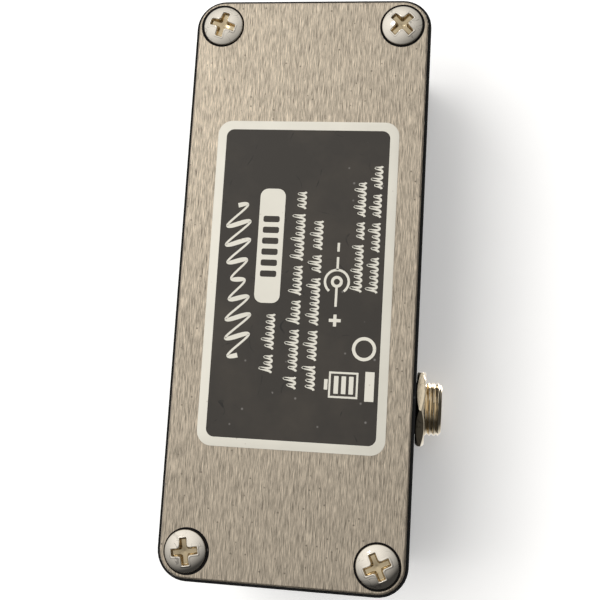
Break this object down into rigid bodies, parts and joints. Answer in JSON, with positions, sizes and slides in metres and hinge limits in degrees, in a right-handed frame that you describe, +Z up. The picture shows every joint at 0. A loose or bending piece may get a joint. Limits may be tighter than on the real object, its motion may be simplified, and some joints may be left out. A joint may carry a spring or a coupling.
{
  "type": "guitar effects pedal",
  "caption": "Compact one-knob boost pedal: die-cast box on a brushed base plate, footswitch, side jacks, power inlet, with battery and circuit inside.",
  "frame": {"origin": "centre of the overall box in plan, on the surface that the four base screw heads stand on", "axes": "+Z up to the footswitch and knob, +Y towards the knob and power inlet, +X towards the input jack"},
  "size_m": [0.0468, 0.0938, 0.0528],
  "materials": {
    "box_paint": "die-cast, fine-textured powder coat, charcoal black",
    "brushed_plate": "brushed along the length, satin",
    "label_film": "printed film, satin, lightly scuffed",
    "screw_nickel": "bright nickel, lightly marked",
    "jack_nickel": "bright nickel, warm",
    "plain_steel": "plain zinc-plated steel",
    "fibre": "brown insulating board",
    "contact_brass": "tinned spring brass",
    "switch_chrome": "polished chrome",
    "switch_blue": "moulded, matt",
    "nylon_white": "natural nylon",
    "knob_black": "moulded, satin black",
    "knob_metal": "spun aluminium",
    "pointer_white": "white inlay",
    "black_oxide": "black oxide",
    "lamp_plastic": "clear tinted lens",
    "board_green": "solder mask",
    "resistor_body": "lacquered",
    "capacitor_red": "dipped film",
    "capacitor_blue": "sleeved can",
    "part_black": "moulded",
    "battery_skin": "printed metal jacket",
    "battery_metal": "plated",
    "foam_grey": "soft foam",
    "wire_red": "wire sleeve",
    "wire_black": "wire sleeve",
    "wire_white": "wire sleeve",
    "wire_yellow": "wire sleeve",
    "wire_blue": "wire sleeve"
  },
  "bodies": {
    "housing": {"enclosure_shell": "box_paint", "base_plate": "brushed_plate", "base_label": "label_film", "base_screws": "screw_nickel", "input_jack_bush": "jack_nickel", "output_jack_bush": "jack_nickel", "jack_nuts": "jack_nickel", "pot_bush": "jack_nickel", "footswitch_bushing": "jack_nickel", "jack_lock_washers": "plain_steel", "input_jack_frame": "plain_steel", "output_jack_frame": "plain_steel", "footswitch_inner_nut": "plain_steel", "footswitch_lock_washer": "plain_steel", "pot_washer": "plain_steel", "pot_nut": "plain_steel", "pot_case": "plain_steel", "footswitch_spring": "plain_steel", "input_jack_insulators": "fibre", "output_jack_insulators": "fibre", "input_jack_tip_spring": "contact_brass", "output_jack_tip_spring": "contact_brass", "footswitch_lugs": "contact_brass", "pot_pins": "contact_brass", "inlet_lugs": "contact_brass", "inlet_pin": "contact_brass", "lamp_leads": "contact_brass", "footswitch_dress_nut": "switch_chrome", "lamp_bezel": "switch_chrome", "footswitch_case": "switch_blue", "footswitch_washer": "nylon_white", "inlet_case": "knob_black", "inlet_nut": "knob_black", "lamp_lens": "lamp_plastic", "circuit_board": "board_green", "board_resistors": "resistor_body", "board_film_capacitors": "capacitor_red", "slide_switch_case": "capacitor_red", "board_electrolytics": "capacitor_blue", "board_transistors": "part_black", "battery_snap": "part_black", "battery_case": "battery_skin", "battery_terminals": "battery_metal", "battery_foam": "foam_grey", "battery_lead_red": "wire_red", "battery_lead_black": "wire_black", "input_wire": "wire_white", "output_wire": "wire_yellow", "lamp_wire": "wire_blue"},
    "footswitch_button": {"footswitch_plunger": "switch_chrome"},
    "gain_control": {"pot_shaft": "plain_steel", "knob_body": "knob_black", "knob_cap": "knob_metal", "knob_pointer": "pointer_white", "knob_set_screw": "black_oxide"},
    "slide_left": {"slide_switch_left": "nylon_white"},
    "slide_right": {"slide_switch_right": "nylon_white"}
  },
  "joints": [
    {"name": "footswitch_press", "type": "slide", "parent": "housing", "child": "footswitch_button", "axis": [0, 0, -1], "range_m": [0, 0.0024], "stiffness_N_per_m": 5000, "springref_m": -0.0015, "deforming": ["footswitch_spring"]},
    {"name": "gain_turn", "type": "hinge", "parent": "housing", "child": "gain_control", "pos_m": [0, 0.03349, 0.0391], "axis": [0, 0, -1], "range_deg": [-150, 150]},
    {"name": "slide_left_move", "type": "slide", "parent": "housing", "child": "slide_left", "axis": [0, 1, 0], "range_m": [0, 0.0016]},
    {"name": "slide_right_move", "type": "slide", "parent": "housing", "child": "slide_right", "axis": [0, 1, 0], "range_m": [0, 0.0016]}
  ]
}
